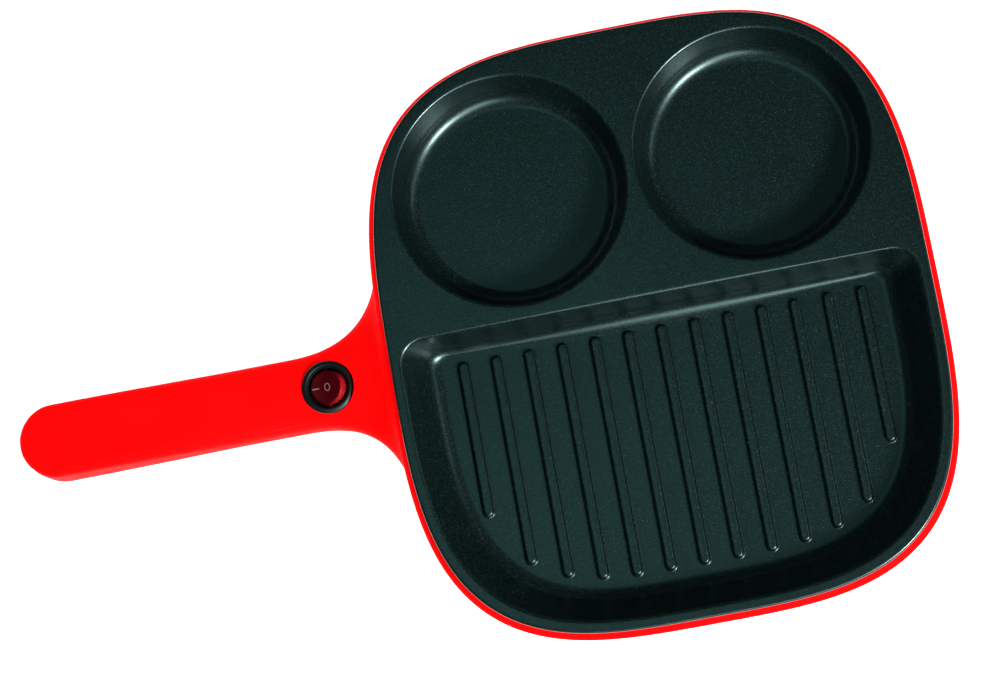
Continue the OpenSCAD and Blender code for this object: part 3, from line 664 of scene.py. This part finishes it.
def housing(p):
    """Signed distance, nearly, to the whole red body with its handle."""
    x, y, z = p[:, 0], p[:, 1], p[:, 2]
    fall = np.maximum(WIDE_Z - z, 0) / (WIDE_Z - PARTING_Z)
    rise = np.maximum(z - WIDE_Z, 0) / (DECK_Z - WIDE_Z)
    side = (past_squared(x, y, SHELL_HALF_X, SHELL_HALF_Y, SHELL_POWER)
            + LEAN_IN * fall ** 1.4 + DECK_INSET * rise ** 2)
    pan = -smooth_least(-side, z - BASE_Z, BASE_ROUND)
    tip_x = TAIL_X + TAIL_GAP + HANDLE_HALF
    reach = np.hypot(np.minimum(0, x - tip_x) + np.maximum(0, x - HANDLE_ROOT_X), y)
    dz = z - PARTING_Z
    # The handle's section gets squarer towards its tip.
    power = HANDLE_POWER + 4.6 * soft_step(-x, 185.0, 274.0)
    bar = past_squared(reach, dz, HANDLE_HALF, np.where(dz > 0, HANDLE_UP, HANDLE_DOWN), power)
    # The flare into the pan is widest at mid height.
    flare = 44.5 - 29 * soft_step(z, 42.0, 57.0) - 23 * soft_step(-z, -26.0, -8.0)
    return np.maximum(smooth_least(pan, bar, flare), z - LID_Z)


def slope(p, step=0.02):
    """Gradient of the housing's distance at each point."""
    g = np.empty_like(p)
    for axis in range(3):
        d = np.zeros(3)
        d[axis] = step
        g[:, axis] = (housing(p + d) - housing(p - d)) / (2 * step)
    return g


def settle(p, rounds, flat=False):
    """Moves the points onto the housing's surface, keeping their height if flat."""
    for _ in range(rounds):
        g = slope(p)
        if flat:
            g[:, 2] = 0
        length = np.maximum((g * g).sum(1), 0.05)
        p = p - g * np.clip(housing(p) / length, -3, 3)[:, None]
    return p


def mesh_points(mesh):
    co = np.empty(len(mesh.vertices) * 3)
    mesh.vertices.foreach_get("co", co)
    return co.reshape(-1, 3)


def half_width(x):
    """Half the rough handle's width at x, as it flares into the pan."""
    flare = 33.0
    bend = min(flare, max(0.0, x + SHELL_HALF_X + flare))
    tip = math.sqrt(max(0.0, HANDLE_HALF ** 2 - max(0.0, TAIL_X + HANDLE_HALF - x) ** 2))
    return max(1.5, tip) + flare - math.sqrt(flare * flare - bend * bend)


def square_off(value):
    """A cosine or sine, moved outwards so that the turn runs round a squared oval."""
    return math.copysign(abs(value) ** (2 / HANDLE_POWER), value)


def rough_bar():
    """The handle's first shape, from its tip into the pan."""
    stations = ([TAIL_X + d for d in (0, 0.6, 2, 4, 7, 11, HANDLE_HALF)] + list(np.linspace(-255, -155, 8))
                + [-151, -147, -143, -138, -133, -128, -124, -121, -119, -110, -100])
    rings = []
    for x in stations:
        w = half_width(x)
        up = HANDLE_UP + 7 * max(0.0, min(1.0, (x + 133) / 15))
        turns = [math.tau * k / 32 for k in range(32)]
        rings.append([(x, w * square_off(math.cos(t)),
                       PARTING_Z + (up if math.sin(t) > 0 else HANDLE_DOWN) * square_off(math.sin(t)))
                      for t in turns])
    return prism(rings)


def make_skin():
    """The red body and handle as one closed skin: an even rough mesh, drawn onto the housing's surface."""
    insets = ((BASE_Z, 14), (BASE_Z + 3, 10.5), (BASE_Z + 10, 8), (PARTING_Z, LEAN_IN), (WIDE_Z, 0),
              (DECK_Z, DECK_INSET), (LID_Z, 9))
    skin = prism([outline(SHELL_HALF_X - i, SHELL_HALF_Y - i, SHELL_POWER, z, 120) for z, i in insets])
    add(skin, rough_bar())
    remesh = skin.modifiers.new("even", "REMESH")
    remesh.mode = "VOXEL"
    remesh.voxel_size = 1.9
    apply_modifiers(skin)
    mesh = skin.data
    edges = np.empty(len(mesh.edges) * 2, int)
    mesh.edges.foreach_get("vertices", edges)
    edges = edges.reshape(-1, 2)
    p = settle(mesh_points(mesh), 6)
    count = np.bincount(edges.ravel(), minlength=len(p))[:, None]
    for _ in range(6):
        total = np.zeros_like(p)
        np.add.at(total, edges[:, 0], p[edges[:, 1]])
        np.add.at(total, edges[:, 1], p[edges[:, 0]])
        p = settle(p + 0.6 * (total / count - p), 2)
    mesh.vertices.foreach_set("co", settle(p, 3).ravel())
    mesh.update()
    return skin


def half_housing(skin, name, low, high, levels):
    """The part of the skin between two heights, with edges at the levels and a groove along the seam."""
    near, groove = 1e-3, 0.4
    bm = bmesh.new()
    bm.from_mesh(skin.data)
    for z in levels:
        bmesh.ops.bisect_plane(bm, geom=bm.verts[:] + bm.edges[:] + bm.faces[:], dist=1e-4,
                               plane_co=(0, 0, z), plane_no=(0, 0, 1))
    for z, side in ((low, -1), (high, 1)):
        if z is None:
            continue
        result = bmesh.ops.bisect_plane(bm, geom=bm.verts[:] + bm.edges[:] + bm.faces[:], dist=1e-4,
                                        plane_co=(0, 0, z), plane_no=(0, 0, side), clear_outer=True)
        edges = [e for e in result["geom_cut"] if isinstance(e, bmesh.types.BMEdge)]
        bmesh.ops.holes_fill(bm, edges=edges, sides=0)
    bm.verts.ensure_lookup_table()
    p = np.array([v.co for v in bm.verts])
    on_level = np.zeros(len(p), bool)
    for z in levels:
        on_level |= np.abs(p[:, 2] - z) < near
    p[on_level] = settle(p[on_level], 4, flat=True)
    at_seam = np.abs(p[:, 2] - PARTING_Z) < near
    q = settle(p[at_seam], 4, flat=True)
    g = slope(q)
    g[:, 2] = 0
    p[at_seam] = q - groove * g / np.linalg.norm(g, axis=1)[:, None]
    for v, co in zip(bm.verts, p):
        v.co = co
    mesh = bpy.data.meshes.new(name)
    bmesh.ops.recalc_face_normals(bm, faces=bm.faces)
    bm.to_mesh(mesh)
    bm.free()
    return link_mesh(name, mesh)


def eight_corners(w, h, c):
    """Corners of a rectangle of half sizes w and h whose own corners are cut off by c."""
    return [(w, c - h), (w, h - c), (w - c, h), (c - w, h),
            (-w, h - c), (-w, c - h), (c - w, -h), (w - c, -h)]


def inlet_ring(x, grow, corner=1.2):
    """The inlet's eight-sided outline at x, with its corners rounded."""
    corners = eight_corners(13.4 + grow, 9.2 + grow, 5.0)
    ring = []
    for k, (y, z) in enumerate(corners):
        before, after = np.array(corners[k - 1]), np.array(corners[(k + 1) % 8])
        here = np.array((y, z))
        a = here + (before - here) / np.linalg.norm(before - here) * corner
        b = here + (after - here) / np.linalg.norm(after - here) * corner
        for t in (0, 0.25, 0.5, 0.75, 1):
            q = (1 - t) ** 2 * a + 2 * t * (1 - t) * here + t * t * b
            ring.append((x, q[0], INLET_Z + q[1]))
    return ring


def handle_cavity(z0, z1):
    """Hollow of the handle between two heights, open towards the pan."""
    half = HANDLE_HALF - 2.4
    return block(INLET_BACK + 2.7, -SHELL_HALF_X + 8, -half, half, z0, z1)


def shell_room(levels):
    """Room inside the shell's wall, from (height, inset) pairs."""
    return prism([outline(SHELL_HALF_X - i - WALL, SHELL_HALF_Y - i - WALL, SHELL_POWER, z, 120)
                  for z, i in levels])


def slot_ring(x, y, length, width, z):
    """Stadium along Y about (x, y)."""
    r = width / 2
    return [(x + r * math.cos(start + t), y + side * (length / 2 - r) + r * math.sin(start + t), z)
            for side, start in ((1, 0), (-1, math.pi)) for t in np.linspace(0, math.pi, 9)]


def paint_housing(piece, nodes):
    """Normals from the housing's own formula on its outer face, flat ones elsewhere."""
    mesh = piece.data
    mesh.materials.clear()
    mesh.materials.append(RED)
    mesh.shade_smooth()
    p = mesh_points(mesh)
    g = slope(p)
    g /= np.maximum(np.linalg.norm(g, axis=1), 1e-6)[:, None]
    outer = np.abs(housing(p)) < 0.05
    corners = np.empty(len(mesh.loops), int)
    mesh.loops.foreach_get("vertex_index", corners)
    faces = np.empty(len(mesh.polygons) * 3)
    mesh.polygons.foreach_get("normal", faces)
    counts = np.empty(len(mesh.polygons), int)
    mesh.polygons.foreach_get("loop_total", counts)
    flat = np.repeat(faces.reshape(-1, 3), counts, axis=0)
    curved = g[corners]
    use = outer[corners] & ((curved * flat).sum(1) > 0.8)
    mesh.normals_split_custom_set(np.where(use[:, None], curved, flat).tolist())
    to_frame(piece)
    place(piece, "griddle", nodes)


def hollow_out(top, low):
    """The shells' insides, the plate's opening, the handle's hollow and the switch's seat."""
    cut(top, shell_room(((PARTING_Z - 1, LEAN_IN), (45, 1.2), (DECK_Z - 3, 0.4))))
    cut(top, prism([outline(PLATE_HALF_X - 3.6, PLATE_HALF_Y - 3.6, PLATE_POWER, z, 120)
                    for z in (DECK_Z - 4, DECK_Z + 3)]))
    cut(top, handle_cavity(PARTING_Z - 1, HANDLE_TOP - HANDLE_SKIN))
    add(top, cylinder(SWITCH_X, 0, PARTING_Z + 2, HANDLE_TOP, SWITCH_BOSS))
    cut(top, cylinder(SWITCH_X, 0, PARTING_Z - 1, HANDLE_TOP + 6, SWITCH_BORE))
    cut(top, cylinder(SWITCH_X, 0, HANDLE_TOP, HANDLE_TOP + 8, SWITCH_SEAT, 96))
    cut(low, shell_room(((BASE_Z + WALL, 18), (BASE_Z + WALL + 3, 13), (18, 8.6), (PARTING_Z + 1, LEAN_IN))))
    cut(low, handle_cavity(HANDLE_BASE + HANDLE_SKIN, PARTING_Z + 1))


def add_posts(top, low):
    """Posts and counterbored holes for the plate's screws and for the handle's."""
    for x, y in POSTS:
        z, seat = BASE_Z, PLATE_SCREW_SEAT
        add(low, cylinder(x, y, z + 1, POST_TOP, POST_R))
        cut(low, turned(x, y, ((4.6, z - 1), (4.2, z + 0.6), (4.2, seat), (2.2, seat),
                               (2.2, POST_TOP + 1.3))))
    for x in HANDLE_SCREWS:
        z, seat = HANDLE_BASE, HANDLE_SCREW_SEAT
        add(low, cylinder(x, 0, z + 1, PARTING_Z - 0.2, HANDLE_POST_R))
        cut(low, turned(x, 0, ((3.6, z - 1), (3.2, z + 0.5), (3.2, seat), (1.7, seat), (1.7, PARTING_Z + 1))))
        add(top, cylinder(x, 0, PARTING_Z - 0.001, HANDLE_TOP - 1, HANDLE_POST_R))
        cut(top, cylinder(x, 0, PARTING_Z - 1, HANDLE_TOP - 3, 1.2))


def open_base(low):
    """Holes for the feet's plugs, and the row of vents."""
    for x, y in FEET:
        cut(low, cylinder(x, y, BASE_Z - 1, BASE_Z + WALL + 1, 2.7, 32))
    for i in range(-3, 4):
        cut(low, prism([slot_ring(12 * i, 0, 48 + 2 * grow, 4 + 2 * grow, z) for grow, z in
                        ((0.6, BASE_Z - 0.2), (0, BASE_Z + 0.5), (0, BASE_Z + WALL + 1))]))


def open_tail(top, low):
    """The recess under the handle's tip, and the inlet's pocket in its face."""
    for piece, ceiling in ((top, HANDLE_TOP - HANDLE_SKIN), (low, PARTING_Z + 1)):
        cut(piece, block(TAIL_X - 2, INLET_X, -HANDLE_HALF - 2, HANDLE_HALF + 2, 0, ceiling))
        cut(piece, prism([inlet_ring(x, grow) for x, grow in
                          ((INLET_X - 1, -0.6), (INLET_X + 1.4, -0.9), (INLET_X + 1.4, 0.2),
                           (INLET_BACK + 0.2, 0.2), (INLET_BACK + 0.2, -2.5), (INLET_BACK + 3.5, -2.5))]))


def make_housing():
    skin = make_skin()
    top = half_housing(skin, "red_top_shell", PARTING_Z, DECK_Z,
                       [PARTING_Z + 0.45, 53.2, WIDE_Z, 55.8, 56.4, 56.9, 57.2])
    low = half_housing(skin, "red_bottom_shell", None, PARTING_Z,
                       [5.02, 5.3, 5.9, 7.0, 8.6, 10.6, 13.0, PARTING_Z - 0.45])
    remove(skin)
    hollow_out(top, low)
    add_posts(top, low)
    open_base(low)
    open_tail(top, low)
    paint_housing(top, ["top_housing"])
    paint_housing(low, ["bottom_housing"])


make_housing()


# ---------------------------------------------------------------- switch
def make_switch():
    """The bezel and cup, from (radius, height over the handle's top) points, with the axle's holes."""
    profile = ((9.9, -14), (9.9, 0.02), (11.4, 0.02), (11.5, 0.12), (11.5, 0.72), (11.4, 0.98), (11.1, 1.22),
               (10.7, 1.44), (10.3, 1.62), (9.95, 1.75), (9.7, 1.8), (9.5, 1.74), (9.32, 1.52), (8.62, 0.3),
               (8.45, -0.1), (8.4, -0.6), (8.4, -12.5), (0.5, -12.5), (0.5, -14))
    shape = Shape()
    loops = shape.stack([circle(SWITCH_X, 0, r, HANDLE_TOP + h, 96) for r, h in profile])
    shape.strip(loops[-1], loops[0])
    piece = shape.build("switch_bezel_cup")
    cut(piece, axle(SWITCH_X, PIVOT_Z, ((-12, 1.05), (12, 1.05))))
    to_frame(piece)
    finish_mesh(piece, BLACK, "griddle", ["switch_body"], 45)


def saddle(x):
    """Height of the rocker's hollowed top above its axle."""
    middle, radius = 2.8, 26
    return middle + radius - math.sqrt(radius * radius - x * x)


# The rocker is made about its axle, level, and tilted to where the photograph shows it.
ROCKER_PLACE = Matrix.Translation((SWITCH_X, 0, PIVOT_Z)) @ Matrix.Rotation(math.radians(-10), 4, "Y")


def make_rocker():
    """The rocker's cap, with its hollow top, rounded edge and skirt, and its axle's two stubs."""
    top_r, lip, count = 7.2, 0.7, 96
    skirt = ((7.5, 1.9), (7.72, 0.8), (7.75, -0.2), (7.75, -2.0), (7.55, -2.35), (7.2, -2.5))
    flat_r = top_r - lip
    rings = [[(x, y, saddle(x)) for x, y, z in circle(0, 0, r, 0, count)] for r in (1.2, 2.6, 4.0, 5.2, 6.2)]
    for a in np.linspace(0, math.pi / 2, 7):
        r = flat_r + lip * math.sin(a)
        drop = lip * (1 - math.cos(a))
        rings.append([(x, y, saddle(x * flat_r / r) - drop) for x, y, z in circle(0, 0, r, 0, count)])
    rings += [circle(0, 0, r, z, count) for r, z in skirt]
    shape = Shape()
    shape.solid(rings)
    piece = shape.build("rocker_cap")
    for side in (-1, 1):
        add(piece, axle(0, 0, ((side * 6.8, 1.0), (side * 9.45, 1.0), (side * 9.68, 0.75))))
    piece.data.transform(ROCKER_PLACE)
    to_frame(piece)
    finish_mesh(piece, LENS, "rocker", ["switch_rocker"], 40)


def raised_mark(name, outer, inner=None):
    """A thin printed mark that follows the rocker's hollow; inner is the hole's outline, if it has one."""
    sunk, proud = -0.15, 0.03
    shape = Shape()

    def ring(points, lift):
        return shape.loop([(x, y, saddle(x) + lift) for x, y in points])

    sides = [ring(outer, sunk), ring(outer, proud)]
    shape.strip(*sides)
    if inner:
        hole = [ring(inner, sunk), ring(inner, proud)]
        shape.strip(*hole)
        shape.strip(sides[0], hole[0])
        shape.strip(sides[1], hole[1])
    else:
        half = len(outer) // 2
        for loop in sides:
            for k in range(half - 1):
                shape.faces.append((loop[k], loop[k + 1], loop[-k - 2], loop[-k - 1]))
    piece = shape.build(name, move=ROCKER_PLACE)
    to_frame(piece)
    finish_mesh(piece, MARK, "rocker")


def make_marks():
    """The generic marks: a ring for off in the middle, and a round-ended bar for on."""
    turns = np.linspace(0, math.tau, 48, endpoint=False)
    outer, inner = ([(0.3 + a * math.cos(t), b * math.sin(t)) for t in turns]
                    for a, b in ((1.30, 1.74), (0.95, 1.38)))
    raised_mark("mark_off_ring", outer, inner)
    half, start, end = 0.26, -6.35, -3.55
    low = ([(x, -half) for x in np.linspace(start, end, 9)]
           + [(end + 0.25 * math.cos(a), half * math.sin(a) / math.sin(1.3)) for a in (-1.2, -0.6, 0)])
    raised_mark("mark_on_bar", low + [(x, -y) for x, y in reversed(low)])


make_switch()
make_rocker()
make_marks()


# ---------------------------------------------------------------- fasteners and feet
def join(pieces, name):
    """One object from several, with all their faces."""
    bm = bmesh.new()
    for piece in pieces:
        bm.from_mesh(piece.data)
        remove(piece)
    mesh = bpy.data.meshes.new(name)
    bm.to_mesh(mesh)
    bm.free()
    return link_mesh(name, mesh)


def screw(x, y, z, d, length):
    """Pan-head screw pointing up from a head whose upper side is at z, with a cross recess below."""
    r, h = d * 0.9, d * 0.6
    neck, thread = d / 2 - 0.2, d / 2 - 0.4
    head = turned(x, y, ((r * 0.55, z - h), (r * 0.82, z - h * 0.92), (r * 0.95, z - h * 0.68),
                         (r, z - h * 0.4), (r, z - 0.12), (r - 0.12, z), (neck, z), (thread, z + 0.3),
                         (thread, z + length - 0.8), (0.2, z + length)), 40)
    a, b = r * 0.58, r * 0.15
    cross = [(a, -b), (a, b), (b, b), (b, a), (-b, a), (-b, b),
             (-a, b), (-a, -b), (-b, -b), (-b, -a), (b, -a), (b, -b)]
    cut(head, prism([[(x + u * s, y + v * s, q) for u, v in cross]
                     for s, q in ((1.05, z - h - 0.5), (0.72, z - h * 0.42))]))
    return head


def make_screws():
    plate_screws = [screw(x, y, PLATE_SCREW_SEAT, 4, 28.1) for x, y in POSTS]
    handle_screws = [screw(x, 0, HANDLE_SCREW_SEAT, 3.2, 19) for x in HANDLE_SCREWS]
    for name, node, pieces in (("plate_cross_screws", "plate_screws", plate_screws),
                               ("handle_cross_screws", "handle_screws", handle_screws)):
        joined = join(pieces, name)
        to_frame(joined)
        finish_mesh(joined, STEEL, "griddle", [node], 35)


def make_feet():
    """Moulded feet, dimpled below, each with a barbed plug that snaps into the base."""
    profile = ((2.2, 0.9), (2.9, 0.75), (3.1, 0.0), (5.9, 0.0), (6.7, 0.12), (7.3, 0.5), (7.75, 1.2),
               (8.0, 2.2), (7.95, 4.3), (7.75, 4.85), (7.3, 5.0), (2.5, 5.0), (2.5, 7.7), (3.5, 7.75),
               (3.4, 8.2), (2.6, 9.4), (2.2, 9.7))
    joined = join([turned(x, y, profile, 64) for x, y in FEET], "moulded_feet")
    to_frame(joined)
    finish_mesh(joined, RUBBER, "griddle", ["rubber_feet"], 35)


make_screws()
make_feet()


# ---------------------------------------------------------------- mains inlet
def make_inlet():
    """The inlet's shroud, open towards the tail, and its three pins."""
    face, back = INLET_X + 1.5, INLET_BACK
    shape = Shape()
    loops = shape.stack([inlet_ring(x, grow) for x, grow in
                         ((face + 0.35, 0), (face, -0.3), (face, -1.2), (face + 0.4, -1.5),
                          (back - 3.4, -1.7), (back - 3, -2.2), (back - 3, -6))])
    shape.cap(loops[-1])
    outer = shape.loop(inlet_ring(back, 0))
    shape.strip(loops[0], outer)
    shape.cap(outer)
    piece = shape.build("inlet_shroud")
    to_frame(piece)
    finish_mesh(piece, BLACK, "griddle", ["inlet_housing"], 40)
    tip = INLET_X + 3.5
    swell = ((tip, 0.45), (tip + 0.35, 0.72), (tip + 1.0, 0.95), (tip + 1.6, 1.0), (back + 5, 1.0))
    pins = []
    for y, z in ((-7, -2), (7, -2), (0, 2)):
        pins.append(prism([[(x, y + u, z + INLET_Z + v) for u, v in
                            eight_corners(s, 2 * min(1, 0.55 + 0.45 * s), 0.25 * s)] for x, s in swell]))
    joined = join(pins, "inlet_blades")
    to_frame(joined)
    finish_mesh(joined, STEEL, "griddle", ["inlet_pins"], 35)


make_inlet()


# ---------------------------------------------------------------- stage and light
def make_stage():
    """A pale, slightly glowing floor just under the feet, so that it shows as the photograph's white."""
    half, z = 9000, -0.4
    shape = Shape()
    corners = ((-half, -half), (half, -half), (half, half), (-half, half))
    shape.cap(shape.loop([(x, y, z) for x, y in corners]))
    floor = shape.build("pale_floor")
    to_frame(floor)
    m = Nodes("pale_floor")
    m.base(m.ramp(m.noise(2.0, 2.0), [(0.3, (0.48, 0.48, 0.48)), (0.7, (0.50, 0.50, 0.50))]))
    m.set(Roughness=0.9, Specular_IOR_Level=0.1, Emission_Color=(1, 1, 1, 1), Emission_Strength=0.95)
    floor.data.materials.append(m.mat)


def area_light(name, place_at, size, power, color=(1, 1, 1)):
    """A round light, in metres and watts, that faces the middle of the pan."""
    target = (0.06, -0.02, 0.05)
    data = bpy.data.lights.new(name, "AREA")
    data.shape = "DISK"
    data.size = size
    data.energy = power
    data.color = color
    light = bpy.data.objects.new(name, data)
    light.location = place_at
    light.rotation_euler = (Vector(target) - Vector(place_at)).to_track_quat("-Z", "Y").to_euler()
    bpy.context.scene.collection.objects.link(light)
    return light


def make_light():
    """A key light and weaker ones that show as highlights, and wide fills that don't."""
    world = bpy.data.worlds.new("studio")
    bpy.context.scene.world = world
    world.use_nodes = True
    background = world.node_tree.nodes["Background"]
    background.inputs["Color"].default_value = (0.93, 0.97, 1.0, 1)
    background.inputs["Strength"].default_value = 0.03
    area_light("key", (1.05, -1.05, 1.25), 0.4, 95, (0.86, 1.0, 1.0))
    area_light("side", (1.35, 0.05, 0.9), 0.3, 1.5, (0.6, 1.0, 1.0))
    area_light("front", (0.30, -1.40, 1.05), 0.8, 16, (0.75, 1.0, 1.0))
    area_light("overhead", (-0.20, 0.08, 1.85), 0.8, 1.9, (0.42, 1.0, 0.96))
    for name, place_at, power in (("fill_left", (-1.6, 0.2, 1.1), 24), ("fill_back", (0.2, 1.7, 1.1), 13),
                                  ("fill_front", (-0.3, -1.7, 1.1), 4)):
        area_light(name, place_at, 1.2, power).visible_glossy = False


make_stage()
make_light()
bpy.context.scene.view_settings.view_transform = "Standard"
